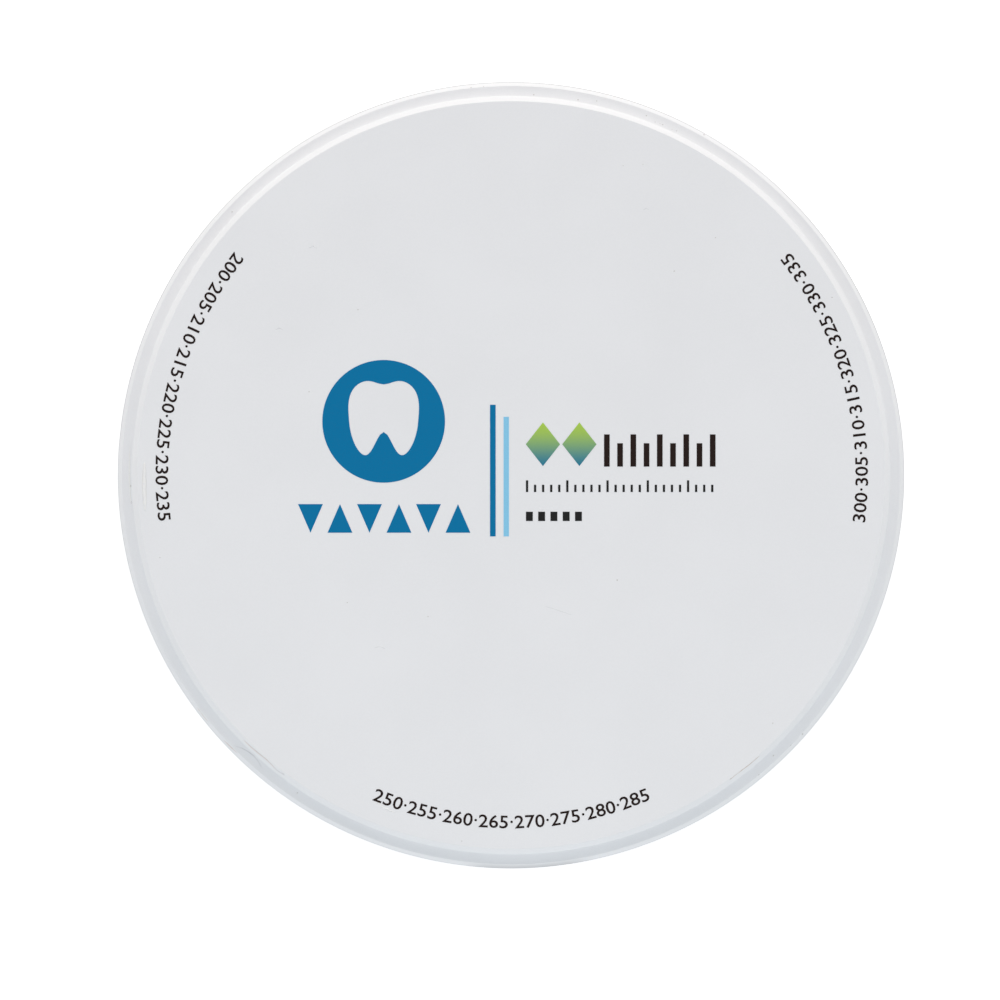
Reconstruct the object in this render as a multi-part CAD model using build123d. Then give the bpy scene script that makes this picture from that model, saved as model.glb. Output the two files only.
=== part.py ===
from build123d import *
import os

# A dental milling disc, in millimetres, +Z up.
# It is one turned blank of chalky ceramic: a flange that the milling machine's holder clamps, with a
# slightly narrower raised face on each side of it. It lies on its lower face, and the origin is that
# face's centre.

FLANGE_DIAMETER = 98.0  # the width that open disc holders take
FLANGE_THICKNESS = 10.0  # the height of the holder's clamping groove
FACE_DIAMETER = 94.1
FACE_STEP = 2.0  # how far each raised face stands out of the flange
RIM_CHAMFER = 0.55  # on the flange's two outer corners
FACE_CHAMFER = 0.6  # round each raised face
ROOT_FILLET = 0.25  # the cove between the flange and a raised face's wall

DISC_THICKNESS = FLANGE_THICKNESS + 2 * FACE_STEP
SAME_PLACE = 1e-6  # corners closer than this are the same corner


def corners(section, radius, height):
    """The section's two corners at that radius, one above and one below the middle of that height."""
    return section.vertices().filter_by(
        lambda corner: abs(corner.X - radius) < SAME_PLACE
        and abs(abs(corner.Y - DISC_THICKNESS / 2) - height / 2) < SAME_PLACE
    )


def half_section():
    """Half of the disc's cross-section on the XZ plane, from the axis out to the rim."""
    flange_radius, face_radius = FLANGE_DIAMETER / 2, FACE_DIAMETER / 2
    from_the_axis = (Align.MIN, Align.CENTER)
    with BuildSketch(Plane.XZ) as section:
        with Locations((0, DISC_THICKNESS / 2)):
            Rectangle(flange_radius, FLANGE_THICKNESS, align=from_the_axis)
            Rectangle(face_radius, DISC_THICKNESS, align=from_the_axis)
        fillet(corners(section, face_radius, FLANGE_THICKNESS), radius=ROOT_FILLET)
        chamfer(corners(section, face_radius, DISC_THICKNESS), length=FACE_CHAMFER)
        chamfer(corners(section, flange_radius, FLANGE_THICKNESS), length=RIM_CHAMFER)
    return section.sketch


def milling_disc():
    """The blank, turned round its axis."""
    with BuildPart() as disc:
        add(half_section())
        revolve(axis=Axis.Z)
    return disc.part


os.makedirs("parts", exist_ok=True)
export_step(milling_disc(), "parts/milling_disc.step")
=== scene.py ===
import math

import bmesh
import bpy
import numpy as np
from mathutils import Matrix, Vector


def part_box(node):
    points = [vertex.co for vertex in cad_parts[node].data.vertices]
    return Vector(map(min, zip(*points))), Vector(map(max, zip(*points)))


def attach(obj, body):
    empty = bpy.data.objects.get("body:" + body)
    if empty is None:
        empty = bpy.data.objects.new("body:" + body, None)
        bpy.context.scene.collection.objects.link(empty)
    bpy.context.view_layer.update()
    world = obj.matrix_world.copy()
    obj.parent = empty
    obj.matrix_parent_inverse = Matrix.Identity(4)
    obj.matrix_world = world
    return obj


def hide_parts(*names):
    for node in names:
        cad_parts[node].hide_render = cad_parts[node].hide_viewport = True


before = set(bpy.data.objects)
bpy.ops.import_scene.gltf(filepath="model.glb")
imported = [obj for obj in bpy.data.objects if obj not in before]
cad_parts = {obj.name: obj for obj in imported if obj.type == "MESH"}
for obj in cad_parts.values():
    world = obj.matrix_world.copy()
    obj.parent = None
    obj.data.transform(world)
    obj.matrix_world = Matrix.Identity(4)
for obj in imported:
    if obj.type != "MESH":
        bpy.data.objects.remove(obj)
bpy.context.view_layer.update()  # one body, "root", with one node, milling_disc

# A dental milling disc, seen from straight above: a turned blank of chalky ceramic with ink on its upper
# face. Sizes are in metres, in the frame's own place and axes, and +Y is the top of the picture.

MM = 0.001


def colour(red, green, blue):
    """A screen colour, 0 to 255 each, as the linear light that a shader takes."""
    share = np.array([red, green, blue]) / 255
    linear = np.where(share <= 0.04045, share / 12.92, ((share + 0.055) / 1.055) ** 2.4)
    return (*linear.tolist(), 1.0)


# Sizes of the blank, with its width and height from the frame

LOW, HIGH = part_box("milling_disc")
FLANGE_RADIUS = (HIGH.x - LOW.x) / 2
TOP = HIGH.z
FACE_RADIUS = 47.05 * MM
FACE_STEP = 2.0 * MM
RIM_CHAMFER = 0.55 * MM
FACE_CHAMFER = 0.6 * MM
ROOT_FILLET = 0.25 * MM
EDGE_BREAK = 0.07 * MM  # the small round that turning and handling leave on a corner
TURNS = 384  # flats round the disc
ARC_STEPS = 6  # flats along each round of the profile

# Where the photograph shows the disc, in pixels of its 1000 by 1000 frame

PICTURE_SIZE = 1000
DISC_PIXEL = (511.0, 475.2)
PIXELS_ACROSS = 779 / (2 * FLANGE_RADIUS)  # for each metre
PIXELS_DOWN = 794 / (2 * FLANGE_RADIUS)

# The ink: a film that stands just out of the face, and reaches just into it

INK_PROUD = 0.018 * MM
INK_SUNK = 0.01 * MM

# The rows of running numbers along the rim

FIGURE_HEIGHT = 1.6 * MM
FIGURE_BOLD = 0.02 * MM  # how far the figures' outlines are moved outward
FIGURE_WIDEN = 1.14  # how much wider they are than the font has them
FONT_SIZE = 1.4 * FIGURE_HEIGHT  # the size of type that gives that height
ROW_LENGTH = 8  # numbers in each row
ROW_STEP = 5  # what is added from one number to the next
ROW_PITCH = 5.95  # degrees from one number to the next

# Marks of handling: how far they stand out of the surface, and how far their edges are sunk in it

MARK_PROUD = 0.012 * MM
MARK_SUNK = 0.006 * MM
HAIRLINE_PLACES = 25  # places along each hairline where its width is worked out

# Where the photograph shows the hairlines, scuffs and smears: each is a path in pixels and a full width

RIM_HAIRLINES = [
    ([(246.3, 741.1), (252, 746.9), (260, 753.9), (269, 761), (279, 771.2)], 0.1 * MM),
    ([(226.5, 742.5), (233, 749), (240.5, 755.8)], 0.09 * MM),
    ([(200.6, 709.8), (205.5, 717), (211, 723.8)], 0.08 * MM),
    ([(725.5, 782.9), (735, 775.3), (747, 766), (757.4, 756.8)], 0.1 * MM),
]
LEDGE_HAIRLINES = [
    ([(238.5, 748.6), (244, 750.2), (250, 753.4), (256.5, 758.5), (261, 764), (264.4, 771)], 0.1 * MM),
    ([(276, 769.5), (280, 772.5), (287, 777)], 0.08 * MM),
]
FACE_SCUFFS = [
    ([(311.5, 246.5), (315.6, 244.6), (319.5, 247)], 0.18 * MM),
    ([(278.5, 328.8), (282.2, 326.8), (286, 329)], 0.16 * MM),
    ([(641.5, 208.5), (644.2, 206.5), (647, 208)], 0.14 * MM),
    ([(376, 649), (381.6, 647.5), (387, 650)], 0.12 * MM),
    ([(544.5, 607.2), (557, 611), (571, 616)], 0.12 * MM),
]
PALE_SMEARS = [
    ([(149.2, 462), (148.8, 486), (149.6, 512)], 0.8 * MM),
    ([(133.5, 446), (133.2, 476), (134.5, 504)], 0.3 * MM),
    ([(377.5, 803.5), (386, 810.5), (396.5, 815)], 0.3 * MM),
]

# Specks of dust: the pixel, the length and width in millimetres, and the turn in degrees

SPECKS = [
    ((359.8, 308.6), 0.3, 0.22, 20),
    ((311.6, 391.1), 0.28, 0.2, 100),
    ((641.4, 162.4), 0.26, 0.16, 10),
    ((621.7, 163.8), 0.22, 0.16, 60),
    ((672.2, 269.9), 0.34, 0.26, 40),
    ((712.9, 236.2), 0.22, 0.18, 0),
    ((349.3, 603.4), 0.24, 0.16, 70),
    ((429.1, 617.5), 0.24, 0.18, 0),
    ((164.5, 558.2), 0.26, 0.2, 0),
    ((462.3, 843.5), 0.24, 0.2, 0),
    ((769.5, 724.9), 0.3, 0.16, 80),
    ((615.8, 580.8), 0.32, 0.24, 90),
    ((299.5, 795.7), 0.3, 0.2, 40),
    ((471.7, 84.1), 0.3, 0.18, 0),
    ((483.8, 83.2), 0.22, 0.18, 0),
    ((533.7, 91.3), 0.34, 0.2, 0),
    ((577.4, 96.4), 0.26, 0.2, 0),
    ((595.9, 97.6), 0.22, 0.18, 0),
    ((645.0, 112.5), 0.3, 0.2, 150),
    ((661.1, 121.6), 0.26, 0.18, 0),
    ((675.0, 127.7), 0.24, 0.18, 0),
    ((653.7, 118.9), 0.2, 0.14, 150),
    ((658.4, 120.7), 0.16, 0.14, 0),
    ((670.4, 126.3), 0.18, 0.12, 150),
    ((702.1, 131.6), 0.22, 0.2, 0),
    ((828.0, 296.3), 0.24, 0.2, 0),
    ((235.0, 209.5), 0.3, 0.22, 45),
    ((756.4, 777.5), 0.34, 0.2, 40),
    ((770.8, 758.0), 0.4, 0.18, 45),
    ((788.0, 747.8), 0.34, 0.2, 50),
    ((799.5, 736.4), 0.3, 0.2, 60),
    ((134.5, 486.0), 0.5, 0.2, 90),
    ((135.4, 502.7), 0.44, 0.2, 94),
    ((286.1, 775.9), 0.26, 0.14, 135),
    ((298.9, 785.5), 0.26, 0.14, 135),
    ((727.4, 780.7), 0.26, 0.2, 0),
]

# Colours of the chalk, the inks, the marks and the floor, and the black that the painted corner shade mixes
# in

CHALK = colour(240, 241, 243)
CHALK_SHADE = colour(237, 238, 240)
DEEP_BLUE = colour(10, 118, 168)
LIGHT_BLUE = colour(141, 207, 240)
LEAF_GREEN = colour(173, 207, 84)
FADE_BLUE = colour(44, 124, 154)
DARK = colour(40, 29, 26)
BLACK = colour(38, 38, 38)
HAIRLINE = colour(204, 186, 172)
LEDGE_LINE = colour(184, 186, 188)
SCUFF = colour(222, 223, 226)
SMEAR = colour(244, 244, 243)
DUST = colour(204, 202, 200)
WHITE = (1, 1, 1, 1)
# painted shade: the black that the painted shade line and painted contact shadow on the corners are mixed
# towards
PAINTED_SHADE_BLACK = (0, 0, 0, 1)
FLOOR_GREY = colour(225, 225, 225)

# The chalk's texture

CLOUD_SIZE = 14 * MM  # the faint cloudy tone
GRAIN_SIZE = 0.22 * MM  # the powder's grain
INK_GRAIN_SIZE = 0.16 * MM  # the grain as the ink shows it
MARK_GRAIN_SIZE = 0.5 * MM  # the unevenness of hairlines and specks
TOOL_PITCH = 0.21 * MM  # from one ring of the turning tool to the next

# Painted shade on the flange's corners: a thin dark line round them, and its short, wide stretch at the
# bottom of the picture, which is a painted contact shadow

LINE_FADE = (0.06 * MM, 0.17 * MM)  # how far from the corner the line begins to fade, and ends
LINE_LEAST = 0.1  # how dark it is at the bottom of the picture, from 0 to 1
LINE_GAIN = 0.2  # how much darker it is at the top
STRETCH_REACH = 1.1 * MM  # how far from the corner the stretch fades to nothing
STRETCH_DARK = 0.26  # how dark it is at most
STRETCH_ASIDE = 0.044  # how far right of the bottom its middle is, as a share of the radius
STRETCH_ENDS = (0.985, 0.9985)  # cosines of the angles from its middle where it starts, and is full
STRETCH_FOOT = (-0.7 * MM, -0.5 * MM)  # heights from the ledge where it starts, and is full

# Lights: the azimuth and elevation in degrees, then the distance, width and height, then the power in watts
# for red, green and blue. The strengths were fitted to the brightness of the rings in the photograph.

KEY_LIGHT = (0, 31, 1.2, 2.2, 0.6, (6.4, 5.1, 4.6))
FILL_LIGHT = (180, 22, 0.42, 0.5, 0.2, (0.354, 0.378, 0.396))

# The room: its colour at the height of the floor, the same beyond the top of the picture, high up and below

SKY_LOW = (1.11, 1.08, 1.04, 1)
SKY_BEYOND = (2.02, 2.13, 2.06, 1)
SKY_HIGH = (0.538, 0.571, 0.599, 1)
SKY_UNDER = (0.535, 0.542, 0.56, 1)

# The floor and the wall that it bends up into

SWEEP_RADIUS = 2.6
SWEEP_BEND = 0.5
SWEEP_HEIGHT = 2.5
SWEEP_MIDDLE = 0.3  # the radius of the one flat face in the floor's middle
SWEEP_TURNS = 96
FLOOR_GLOW = 0.53

CAMERA_DISTANCE = 0.8  # from the level where the disc is widest


# Meshes


def make_piece(name, vertices, faces, material, smooth=False):
    """One mesh piece on the disc's body, from an array of places and a list of faces."""
    mesh = bpy.data.meshes.new(name)
    mesh.from_pydata(np.asarray(vertices).tolist(), [], [list(map(int, face)) for face in faces])
    mesh.polygons.foreach_set("use_smooth", np.full(len(mesh.polygons), smooth))
    mesh.materials.append(material)
    mesh.update()
    piece = bpy.data.objects.new(name, mesh)
    bpy.context.scene.collection.objects.link(piece)
    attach(piece, "root")
    return piece


def joined(name, shapes, material, smooth=False):
    """Several closed shapes, each its places and its faces, as one piece."""
    vertices, faces, first = [], [], 0
    for places, its_faces in shapes:
        vertices.append(places)
        faces += [np.asarray(face) + first for face in its_faces]
        first += len(places)
    make_piece(name, np.concatenate(vertices), faces, material, smooth)


def turned(profile, count):
    """A profile of (r, z) turned round the axis: the places (r cos a, r sin a, z), the faces with four
    corners between one ring and the next, and the numbers of the places, with a row for each ring."""
    angle = np.arange(count) / count * math.tau
    grid = np.empty((len(profile), count, 3))
    grid[..., 0] = profile[:, :1] * np.cos(angle)
    grid[..., 1] = profile[:, :1] * np.sin(angle)
    grid[..., 2] = profile[:, 1:]
    number = np.arange(len(profile) * count).reshape(len(profile), count)
    beside = np.roll(number, -1, axis=1)
    quads = np.stack([number[:-1], beside[:-1], beside[1:], number[1:]], axis=-1).reshape(-1, 4)
    return grid.reshape(-1, 3), quads, number


def rounded(corners):
    """A profile with round corners. Each corner is (distance from the axis, height, round). An arc of that
    round touches both runs at round / tan(half the angle) from the corner, and its centre is on the
    angle's bisector, round / sin(half the angle) away. A round of 0 keeps the corner."""
    corners = np.asarray(corners, float)
    points = [corners[:1, :2]]
    for before, corner, after in zip(corners, corners[1:], corners[2:]):
        place, bend = corner[:2], corner[2]
        back = (before[:2] - place) / np.linalg.norm(before[:2] - place)
        on = (after[:2] - place) / np.linalg.norm(after[:2] - place)
        half = np.arccos(np.clip(back @ on, -1, 1)) / 2
        if bend == 0:
            points.append(place[None])
            continue
        centre = place + (back + on) / np.linalg.norm(back + on) * bend / np.sin(half)
        start = place + back * bend / np.tan(half) - centre
        end = place + on * bend / np.tan(half) - centre
        share = np.linspace(0, 1, ARC_STEPS + 1)[:, None]
        turn = np.arccos(np.clip(start @ end / bend**2, -1, 1))
        arc = (np.sin((1 - share) * turn) * start + np.sin(share * turn) * end) / np.sin(turn)
        points.append(centre + arc)
    points.append(corners[-1:, :2])
    return np.concatenate(points)


def upper_profile():
    """The upper half of the disc's outline, from the rim's middle up and in to the axis: rim, ledge, cove,
    wall and face. The extra corners with no round keep the flats flat."""
    ledge = TOP - FACE_STEP
    corners = [
        (FLANGE_RADIUS, TOP / 2, 0),
        (FLANGE_RADIUS, ledge - RIM_CHAMFER, EDGE_BREAK),
        (FLANGE_RADIUS - RIM_CHAMFER, ledge, EDGE_BREAK),
        (FACE_RADIUS, ledge, ROOT_FILLET),
        (FACE_RADIUS, TOP - FACE_CHAMFER, EDGE_BREAK),
        (FACE_RADIUS - FACE_CHAMFER, TOP, EDGE_BREAK),
        (FACE_RADIUS - FACE_CHAMFER - 2 * EDGE_BREAK, TOP, 0),
        (FACE_RADIUS * 0.6, TOP, 0),
        (0, TOP, 0),
    ]
    return rounded(corners)


def whole_profile():
    """The outline from the centre of the lower face round to the centre of the upper one: the upper half
    and its mirror image in the middle of the height."""
    upper = upper_profile()
    lower = upper[:0:-1] * (1, -1) + (0, TOP)
    return np.concatenate([lower, upper])


def turned_blank(material):
    """The outline turned round the axis, where each of its ends is a single point."""
    places, quads, number = turned(whole_profile()[1:-1], TURNS)
    lowest, highest = number[0], number[-1]
    under, over = len(places), len(places) + 1
    base = np.stack([np.roll(lowest, -1), lowest, np.full(TURNS, under)], axis=-1)
    crown = np.stack([highest, np.roll(highest, -1), np.full(TURNS, over)], axis=-1)
    vertices = np.concatenate([places, [(0, 0, 0), (0, 0, TOP)]])
    piece = make_piece("blank", vertices, [*quads, *base, *crown], material, smooth=True)
    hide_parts("milling_disc")


def on_the_surface(places):
    """Lifts (x, y) places to the disc's upper side, whose height at each distance from the axis is read
    from its outline."""
    upper = upper_profile()[::-1]
    radius = np.hypot(places[..., 0], places[..., 1])
    height = np.interp(radius, upper[:, 0], upper[:, 1])
    return np.concatenate([places, height[..., None]], axis=-1)


# Flat shapes of ink: each is an outline, an array of (x, y) that goes round anticlockwise


def bar(left, right, bottom, top):
    """A rectangle."""
    return np.array([(left, bottom), (right, bottom), (right, top), (left, top)])


def oval(width, height, count=40):
    """An ellipse: (width / 2 cos a, height / 2 sin a)."""
    angle = np.arange(count) / count * math.tau
    return np.stack([width / 2 * np.cos(angle), height / 2 * np.sin(angle)], axis=-1)


def placed(outline, x, y, turn=0.0):
    """An outline turned about its own origin, then moved to (x, y)."""
    c, s = math.cos(turn), math.sin(turn)
    return outline @ np.array([(c, s), (-s, c)]) + (x, y)


def film(name, outlines, material):
    """A film of ink: each outline as a flat plate, with its top just out of the face, its underside just
    inside the blank, and a wall between them."""
    plates = []
    for outline in outlines:
        count = len(outline)
        under = np.column_stack([outline, np.full(count, TOP - INK_SUNK)])
        upper = np.column_stack([outline, np.full(count, TOP + INK_PROUD)])
        low = np.arange(count)
        next_low = np.roll(low, -1)
        wall = np.stack([low, next_low, next_low + count, low + count], axis=-1)
        plates.append((np.concatenate([under, upper]), [low[::-1], low + count, *wall]))
    joined(name, plates, material)


# The print


def plate_of(curve):
    """The closed mesh of a flat curve, as thick as the ink: its places, with heights from 0, and its
    faces."""
    thick = INK_PROUD + INK_SUNK
    curve.extrude = thick / 2
    holder = bpy.data.objects.new("plate", curve)
    bpy.context.scene.collection.objects.link(holder)
    bpy.context.view_layer.update()
    mesh = bpy.data.meshes.new_from_object(holder)
    whole = bmesh.new()
    whole.from_mesh(mesh)
    bmesh.ops.remove_doubles(whole, verts=whole.verts, dist=0.001 * MM)
    bmesh.ops.recalc_face_normals(whole, faces=whole.faces)
    places = np.array([vertex.co for vertex in whole.verts]) + (0, 0, thick / 2)
    faces = [[vertex.index for vertex in face.verts] for face in whole.faces]
    whole.free()
    bpy.data.objects.remove(holder)
    bpy.data.curves.remove(curve)
    bpy.data.meshes.remove(mesh)
    return places, faces


def flat_plate(outlines):
    """A plate of ink from outlines at the origin, where one inside another is a hole: its places, with
    heights from 0, and its faces."""
    curve = bpy.data.curves.new("outline", "CURVE")
    curve.dimensions = "2D"
    curve.fill_mode = "BOTH"
    for outline in outlines:
        line = curve.splines.new("POLY")
        line.points.add(len(outline) - 1)
        for point, (x, y) in zip(line.points, outline):
            point.co = (x, y, 0, 1)
        line.use_cyclic_u = True
    return plate_of(curve)


def tooth(width, height, count=96):
    """The outline of a molar: a squarish oval that is narrower below, with two roots beside a deep notch
    and a shallow dip in the crown. The notch and the dip are bell curves."""
    angle = np.arange(count) / count * math.tau
    across, up = np.cos(angle), np.sin(angle)
    x = np.sign(across) * np.abs(across) ** 0.75 * (0.84 + 0.16 * up)
    dip = np.exp(-((x / 0.3) ** 2))
    y = np.sign(up) * np.abs(up) ** 0.8 - 0.14 * dip * (up > 0) + 0.75 * dip * (up < 0)
    return np.stack([x * width / 2, y * height / 2], axis=-1)


def emblem(x, y, radius, material):
    """A round field of ink, in which a plain molar is left bare."""
    field = oval(2 * radius, 2 * radius, count=120)
    places, faces = flat_plate([field, tooth(1.34 * radius, 1.4 * radius)])
    places += (x, y, TOP - INK_SUNK)
    make_piece("round_emblem", places, faces, material)


def triangles(left, right, bottom, top, count, share):
    """A row of triangles that stand on their point and on their base by turns. Each fills that share
    of its place in the row."""
    pitch = (right - left) / (count - 1 + share)
    half, tall = pitch * share / 2, (top - bottom) / 2
    row = []
    for i in range(count):
        way = 1 if i % 2 else -1
        corners = np.array([(-half, -tall), (half, -tall), (0, tall)]) * way
        row.append(placed(corners, left + pitch * i + half, (bottom + top) / 2))
    return row


def blocks(left, right, bottom, top, count, share):
    """A row of equal blocks. Each fills that share of its place in the row."""
    pitch = (right - left) / (count - 1 + share)
    starts = left + pitch * np.arange(count)
    return [bar(start, start + pitch * share, bottom, top) for start in starts]


def diamonds(left, right, bottom, top, count, share):
    """A row of upright diamonds. Each fills that share of its place, in width and height."""
    width = (right - left) / count
    middle = (bottom + top) / 2
    corners = np.array([(-width / 2, 0), (0, bottom - middle), (width / 2, 0), (0, top - middle)])
    return [placed(corners * share, left + width * (i + 0.5), middle) for i in range(count)]


def strokes(left, right, bottom, heights, width):
    """Upright strokes on one base line, evenly spaced, with the given heights."""
    starts = np.linspace(left, right - width, len(heights))
    return [bar(start, start + width, bottom, bottom + height) for start, height in zip(starts, heights)]


def rule(left, bottom, count, pitch, width, short, long):
    """A millimetre rule: a tick at each pitch, and every fifth one longer."""
    ticks = []
    for i in range(count):
        start = left + i * pitch
        ticks.append(bar(start, start + width, bottom, bottom + (short if i % 5 else long)))
    return ticks


def numeral(text):
    """Plain figures as a plate of ink with its middle at the origin, a little wider and bolder than the
    font has them."""
    letters = bpy.data.curves.new("figures", "FONT")
    letters.body = text
    letters.size = FONT_SIZE
    letters.offset = FIGURE_BOLD
    letters.align_x = "CENTER"
    letters.resolution_u = 3
    places, faces = plate_of(letters)
    places[:, 1] -= (places[:, 1].min() + places[:, 1].max()) / 2
    return places * (FIGURE_WIDEN, 1, 1), faces


def number_row(name, first, middle, radius, material):
    """A row of plain running numbers along the rim, with their feet outward and a dot between one and the
    next. The row's middle is at that angle in degrees."""
    angles = np.radians(middle + ROW_PITCH * (np.arange(ROW_LENGTH) - (ROW_LENGTH - 1) / 2))
    numbers = []
    for place, angle in enumerate(angles):
        places, faces = numeral(str(first + ROW_STEP * place))
        x, y = radius * math.cos(angle), radius * math.sin(angle)
        flat = placed(places[:, :2], x, y, angle + math.pi / 2)
        numbers.append((np.column_stack([flat, places[:, 2] + TOP - INK_SUNK]), faces))
    joined(name, numbers, material)
    between = (angles[1:] + angles[:-1]) / 2
    dot = oval(0.3 * MM, 0.3 * MM)
    dots = [placed(dot, radius * math.cos(angle), radius * math.sin(angle)) for angle in between]
    film(name + "_dots", dots, material)


def print_face():
    """All the ink on the upper face, each colour where the photograph shows it."""
    deep, light = ink("ink_deep_blue", DEEP_BLUE), ink("ink_light_blue", LIGHT_BLUE)
    dark, black = ink("ink_brown_black", DARK), ink("ink_black", BLACK)
    emblem(x=-15.82 * MM, y=6.68 * MM, radius=7.62 * MM, material=deep)
    row = triangles(
        left=-26.45 * MM,
        right=-5.05 * MM,
        bottom=-7.15 * MM,
        top=-3.6 * MM,
        count=6,
        share=0.84,
    )
    film("blue_triangles", row, deep)
    film("deep_stripe", [bar(left=-2.61 * MM, right=-1.91 * MM, bottom=-7.61 * MM, top=8.74 * MM)], deep)
    film("light_stripe", [bar(left=-0.93 * MM, right=-0.26 * MM, bottom=-7.61 * MM, top=7.24 * MM)], light)
    row = diamonds(left=1.7 * MM, right=10.75 * MM, bottom=0.95 * MM, top=6.72 * MM, count=2, share=0.94)
    film("fading_diamonds", row, fading_ink("ink_green_to_blue", bottom=1.0 * MM, top=6.6 * MM))
    heights = np.where(np.arange(9) % 2 == 0, 4.0, 2.9) * MM
    row = strokes(left=11.55 * MM, right=25.4 * MM, bottom=1.06 * MM, heights=heights, width=0.7 * MM)
    film("dark_strokes", row, dark)
    row = rule(
        left=1.85 * MM,
        bottom=-2.1 * MM,
        count=24,
        pitch=1.0 * MM,
        width=0.28 * MM,
        short=0.9 * MM,
        long=1.45 * MM,
    )
    film("millimetre_rule", row, black)
    row = blocks(left=1.85 * MM, right=8.8 * MM, bottom=-5.7 * MM, top=-4.55 * MM, count=5, share=0.56)
    film("dark_squares", row, black)
    number_row("numbers_left", first=200, middle=164.3, radius=43.37 * MM, material=dark)
    number_row("numbers_below", first=250, middle=270.1, radius=43.07 * MM, material=dark)
    number_row("numbers_right", first=300, middle=15.5, radius=43.55 * MM, material=dark)


# Marks of handling


def at_pixels(pixels):
    """Places on the disc, in metres, from pixels of the photograph, which shows it a little stretched."""
    return (np.asarray(pixels, float) - DISC_PIXEL) / (PIXELS_ACROSS, -PIXELS_DOWN)


def hairline(pixels, width):
    """A hairline as a low ridge: at each place along it a triangle, sunk at its two feet and just proud at
    its crest. Its width swells from next to nothing to the full width and back, as the root of a half
    sine."""
    path = at_pixels(pixels)
    along = np.concatenate([[0], np.cumsum(np.linalg.norm(np.diff(path, axis=0), axis=1))])
    share = np.linspace(0, 1, HAIRLINE_PLACES)
    line = np.stack([np.interp(share * along[-1], along, path[:, i]) for i in range(2)], axis=-1)
    way = np.gradient(line, axis=0)
    side = np.stack([-way[:, 1], way[:, 0]], axis=-1) / np.linalg.norm(way, axis=1)[:, None]
    swell = np.sqrt(np.abs(np.sin(share * math.pi))) + 0.05
    reach = side * (width / 2 * swell)[:, None]
    left, crest, right = on_the_surface(line + reach), on_the_surface(line), on_the_surface(line - reach)
    left[:, 2] -= MARK_SUNK
    right[:, 2] -= MARK_SUNK
    crest[:, 2] += MARK_PROUD
    count = len(line)
    vertices = np.concatenate([left, crest, right])
    at = np.arange(count - 1)
    sides = ((2 * count, 0), (count, 2 * count), (0, count))
    faces = [np.stack([at + a, at + b, at + b + 1, at + a + 1], axis=-1) for a, b in sides]
    ends = [[2 * count, count, 0], [count - 1, 2 * count - 1, 3 * count - 1]]
    return vertices, [*np.concatenate(faces), *ends]


def speck(pixel, length, width, turn):
    """A speck as a low closed dome: an oval rim sunk in the surface, a crest and a point under it."""
    outline = placed(oval(length, width, count=14), *at_pixels(pixel), math.radians(turn))
    rim = on_the_surface(outline)
    rim[:, 2] -= MARK_SUNK
    middle = on_the_surface(at_pixels(pixel)[None])
    crest, under = middle + (0, 0, MARK_PROUD), middle - (0, 0, 2 * MARK_SUNK)
    at = np.arange(len(rim))
    beside = np.roll(at, -1)
    top = np.stack([at, beside, np.full(len(rim), len(rim))], -1)
    bottom = np.stack([beside, at, np.full(len(rim), len(rim) + 1)], -1)
    return np.concatenate([rim, crest, under]), [*top, *bottom]


def handling_marks():
    """All the marks of handling: brown and grey hairlines, grey scuffs, pale smears and specks of dust."""
    lines = {
        "rim_hairlines": (RIM_HAIRLINES, mark("hairline_brown", HAIRLINE)),
        "ledge_hairlines": (LEDGE_HAIRLINES, mark("hairline_grey", LEDGE_LINE)),
        "face_scuffs": (FACE_SCUFFS, mark("scuff_grey", SCUFF)),
        "pale_smears": (PALE_SMEARS, mark("smear_pale", SMEAR)),
    }
    for name, (paths, material) in lines.items():
        joined(name, [hairline(*path) for path in paths], material, smooth=True)
    specks = [speck(where, length * MM, width * MM, lie) for where, length, width, lie in SPECKS]
    joined("specks", specks, mark("speck_grey", DUST), smooth=True)


# Shader maths: operators on wires add the nodes that work them out


def plug(tree, socket, value):
    """Links a wire to a socket, or sets the socket to a plain value."""
    if isinstance(value, Wire):
        tree.links.new(value.socket, socket)
    else:
        socket.default_value = value


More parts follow.
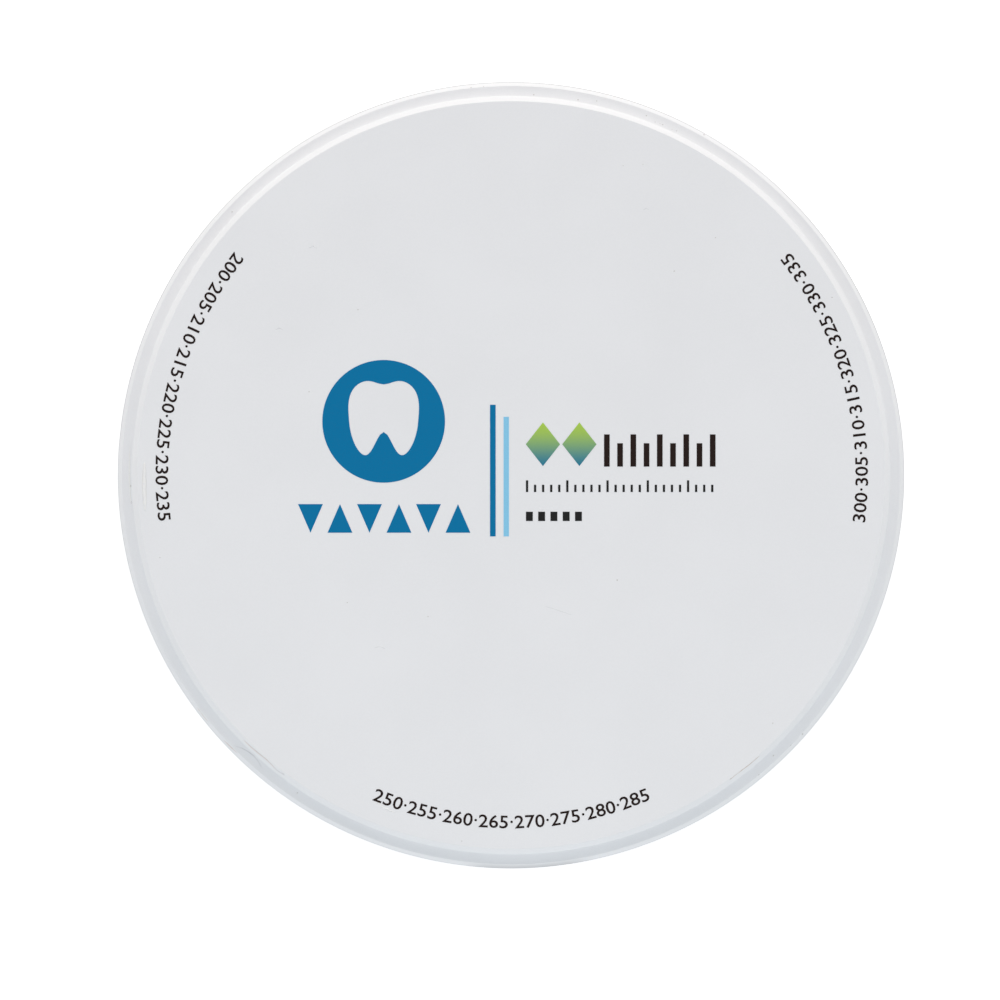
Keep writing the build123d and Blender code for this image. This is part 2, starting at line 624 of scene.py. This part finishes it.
class Wire:
    """A socket of a material's node tree. Operators on it add Math nodes."""

    def __init__(self, tree, socket=None):
        self.tree, self.socket = tree, socket

    def node(self, kind, settings=None, inputs=None, output=0):
        """Adds a node of that kind, with its settings made first, then its sockets linked or set, and
        returns the wire from one of its outputs."""
        made = self.tree.nodes.new(kind)
        for key, value in (settings or {}).items():
            setattr(made, key, value)
        for key, value in (inputs or {}).items():
            plug(self.tree, made.inputs[key], value)
        return Wire(self.tree, made.outputs[output] if made.outputs else None)

    def place(self):
        """Each point's place on the object, in metres."""
        return self.node("ShaderNodeTexCoord", output=3)

    def maths(self, operation, *values):
        """One Math node on the values, which are wires or numbers."""
        return self.node("ShaderNodeMath", {"operation": operation}, dict(enumerate(values)))

    def __add__(self, other):
        return self.maths("ADD", self, other)

    def __sub__(self, other):
        return self.maths("SUBTRACT", self, other)

    def __rsub__(self, other):
        return self.maths("SUBTRACT", other, self)

    def __mul__(self, other):
        return self.maths("MULTIPLY", self, other)

    def __truediv__(self, other):
        return self.maths("DIVIDE", self, other)

    def __pow__(self, other):
        return self.maths("POWER", self, other)

    __radd__, __rmul__ = __add__, __mul__

    def root(self):
        return self.maths("SQRT", self)

    def sine(self):
        return self.maths("SINE", self)

    def ramp(self, low, high):
        """0 up to low, 1 from high on, and a smooth rise between them."""
        sockets = {0: self, 1: low, 2: high}
        return self.node("ShaderNodeMapRange", {"interpolation_type": "SMOOTHSTEP"}, sockets)

    def between(self, first, second):
        """The colour that lies this share of the way from the first to the second."""
        sockets = {0: self, 6: first, 7: second}
        return self.node("ShaderNodeMix", {"data_type": "RGBA"}, sockets, output=2)

    def parts(self):
        """The X, Y and Z of a vector."""
        split = self.node("ShaderNodeSeparateXYZ", inputs={0: self})
        outputs = split.socket.node.outputs
        return [Wire(self.tree, outputs[i]) for i in range(3)]

    def noise(self, size, detail=2.0, roughness=0.5):
        """Noise on the vector, about 0.5, with lumps of that size in metres."""
        sockets = {"Vector": self, "Scale": 1 / size, "Detail": detail, "Roughness": roughness}
        return self.node("ShaderNodeTexNoise", inputs=sockets)


def new_material(name):
    """An empty material: the material, its Principled node, and a wire that starts its maths."""
    material = bpy.data.materials.new(name)
    material.use_nodes = True
    tree = material.node_tree
    tree.nodes.clear()
    shader = tree.nodes.new("ShaderNodeBsdfPrincipled")
    end = tree.nodes.new("ShaderNodeOutputMaterial")
    tree.links.new(shader.outputs[0], end.inputs["Surface"])
    return material, shader, Wire(tree)


def feed(shader, **values):
    """Links or sets the shader's sockets, whose names are given with _ for a space."""
    for name, value in values.items():
        plug(shader.id_data, shader.inputs[name.replace("_", " ")], value)


def painted_corner_shade(x, y, z, radius):
    """How dark the painted shade on the flange's corners is: a thin painted shade line round both corners,
    and a short and wide stretch of it on the upper corner, at the bottom of the picture, which is a painted
    contact shadow."""
    above = ((z - TOP / 2) ** 2).root() - (TOP / 2 - FACE_STEP - RIM_CHAMFER)
    from_corner = ((radius - FLANGE_RADIUS) ** 2 + above ** 2).root()
    strength = (y / radius).ramp(-0.4, 0.6) * LINE_GAIN + LINE_LEAST
    thin = (1 - from_corner.ramp(*LINE_FADE)) * strength
    round_the_bottom = ((x * STRETCH_ASIDE - y) / radius).ramp(*STRETCH_ENDS)
    upward = (z - TOP + FACE_STEP).ramp(*STRETCH_FOOT)
    # the wide stretch is a painted contact shadow, darkest at the bottom of the picture
    wide = (1 - from_corner.ramp(0.0, STRETCH_REACH)) * (round_the_bottom * upward) * STRETCH_DARK
    return thin + wide


def zirconia():
    """Half-sintered zirconia: a matt, chalky white with a faint cloudy tone, a powder's grain, the fine
    rings that the turning tool leaves on the rim, and painted shade on the flange's corners: a thin dark
    line, and a painted contact shadow at the bottom of the picture."""
    material, shader, wire = new_material("zirconia")
    place = wire.place()
    x, y, z = place.parts()
    radius = (x * x + y * y).root()
    cloud = place.noise(CLOUD_SIZE, detail=3.0)
    grain = place.noise(GRAIN_SIZE, roughness=0.6)
    tone = (cloud * 0.8 + grain * 0.5 - 0.15).ramp(0.25, 0.75)
    # painted shade: the chalk's colour is darkened towards black along the flange's corners
    chalk = painted_corner_shade(x, y, z, radius).between(tone.between(CHALK_SHADE, CHALK), PAINTED_SHADE_BLACK)
    rim = radius.ramp(FACE_RADIUS - FACE_CHAMFER, FACE_RADIUS)
    rings = ((radius + z) * (math.tau / TOOL_PITCH) + cloud * 3).sine() * rim
    height = grain * 0.7 + rings * 0.25
    bump = wire.node("ShaderNodeBump", inputs={"Strength": 0.35, "Distance": 0.012 * MM, "Height": height})
    dull = grain * 0.12 + 0.55
    feed(shader, Base_Color=chalk, Roughness=dull, Normal=bump, Specular_IOR_Level=0.35)
    return material


def mark(name, base):
    """A faint mark on the chalk, uneven along its length."""
    material, shader, wire = new_material(name)
    share = wire.place().noise(MARK_GRAIN_SIZE).ramp(0.42, 0.8)
    feed(shader, Base_Color=share.between(base, CHALK_SHADE), Roughness=0.6, Specular_IOR_Level=0.2)
    return material


def ink(name, base):
    """Matt ink on chalk: its colour a little uneven where the powder takes more or less of it."""
    material, shader, wire = new_material(name)
    grain = wire.place().noise(INK_GRAIN_SIZE, roughness=0.6)
    paler = tuple(0.95 * channel + 0.004 for channel in base[:3]) + (1.0,)
    tone = grain.ramp(0.35, 0.75).between(base, paler)
    bump = wire.node("ShaderNodeBump", inputs={"Strength": 0.3, "Distance": 0.008 * MM, "Height": grain})
    feed(shader, Base_Color=tone, Roughness=grain * 0.2 + 0.4, Normal=bump, Specular_IOR_Level=0.06)
    return material


def fading_ink(name, bottom, top):
    """Ink that fades from green at the top to blue at the bottom."""
    material, shader, wire = new_material(name)
    place = wire.place()
    y = place.parts()[1]
    grain = place.noise(INK_GRAIN_SIZE, roughness=0.6)
    share = ((y - bottom) / (top - bottom) + grain * 0.06 - 0.03).ramp(-0.05, 1.0)
    tone = share.between(FADE_BLUE, LEAF_GREEN)
    feed(shader, Base_Color=tone, Roughness=grain * 0.2 + 0.4, Specular_IOR_Level=0.06)
    return material


# The studio: a white floor and wall that glow, a white room round them, a broad light from the top of the
# picture and a faint one from below it


def sweep():
    """A plain white floor that bends up into a white wall all round. It glows, so that it is as white as
    the photograph's ground, and it sends no light to the disc, as a ground that is cut out sends none."""
    lift = np.linspace(0, math.pi / 2, 9)
    bend_radius = SWEEP_RADIUS - SWEEP_BEND + SWEEP_BEND * np.sin(lift)
    bend_height = SWEEP_BEND - SWEEP_BEND * np.cos(lift)
    bend = np.column_stack([bend_radius, bend_height])
    profile = np.array([(SWEEP_MIDDLE, 0), *bend, (SWEEP_RADIUS, SWEEP_HEIGHT)])
    places, quads, number = turned(profile, SWEEP_TURNS)
    mesh = bpy.data.meshes.new("sweep")
    mesh.from_pydata(places.tolist(), [], [number[0].tolist(), *quads.tolist()])
    ground = bpy.data.objects.new("sweep", mesh)
    bpy.context.scene.collection.objects.link(ground)
    material, shader, _ = new_material("sweep_white")
    feed(shader, Base_Color=FLOOR_GREY, Roughness=0.9, Specular_IOR_Level=0.0)
    feed(shader, Emission_Color=WHITE, Emission_Strength=FLOOR_GLOW)
    mesh.materials.append(material)
    ground.visible_diffuse = False
    ground.visible_glossy = False
    ground.visible_shadow = False


def lamp(name, azimuth, elevation, distance, width, height, power):
    """A soft light that faces the disc, with its power in watts for red, green and blue. Azimuth 0 is the
    top of the picture, +Y."""
    light = bpy.data.lights.new(name, "AREA")
    light.shape = "RECTANGLE"
    light.size, light.size_y = width, height
    light.energy = max(power)
    light.color = np.array(power) / max(power)
    holder = bpy.data.objects.new(name, light)
    a, e = math.radians(azimuth), math.radians(elevation)
    aim = np.array([math.sin(a) * math.cos(e), math.cos(a) * math.cos(e), math.sin(e)])
    holder.location = aim * distance
    holder.rotation_euler = (math.pi / 2 - e, 0, math.pi - a)
    holder.visible_camera = False
    bpy.context.scene.collection.objects.link(holder)


def sky():
    """A white room, brightest at the height of the floor and beyond the top of the picture."""
    world = bpy.data.worlds.new("room")
    bpy.context.scene.world = world
    world.use_nodes = True
    tree = world.node_tree
    tree.nodes.clear()
    wire = Wire(tree)
    _, y, z = wire.node("ShaderNodeTexCoord", output=0).parts()
    low = y.ramp(0.0, 1.0).between(SKY_LOW, SKY_BEYOND)
    above = z.ramp(0.0, 0.7).between(low, SKY_HIGH)
    whole = (z * -1).ramp(0.0, 0.1).between(above, SKY_UNDER)
    light = wire.node("ShaderNodeBackground", inputs={"Color": whole})
    wire.node("ShaderNodeOutputWorld", inputs={"Surface": light})


def camera():
    """Straight above the disc, and a little aside, so that the disc lies where the photograph shows it."""
    widest = TOP - FACE_STEP - RIM_CHAMFER
    pixels_for_a_metre = (PIXELS_ACROSS + PIXELS_DOWN) / 2
    view = bpy.data.cameras.new("camera")
    view.sensor_width = 36.0
    view.lens = view.sensor_width * CAMERA_DISTANCE * pixels_for_a_metre / PICTURE_SIZE
    holder = bpy.data.objects.new("camera", view)
    bpy.context.scene.collection.objects.link(holder)
    aside = (PICTURE_SIZE / 2 - DISC_PIXEL[0]) / pixels_for_a_metre
    up = (DISC_PIXEL[1] - PICTURE_SIZE / 2) / pixels_for_a_metre
    holder.location = (aside, up, widest + CAMERA_DISTANCE)
    bpy.context.scene.camera = holder


turned_blank(zirconia())
print_face()
handling_marks()
sweep()
sky()
lamp("key_light", *KEY_LIGHT)
lamp("fill_light", *FILL_LIGHT)
camera()
bpy.context.scene.view_settings.view_transform = "Standard"
bpy.context.scene.view_settings.look = "None"
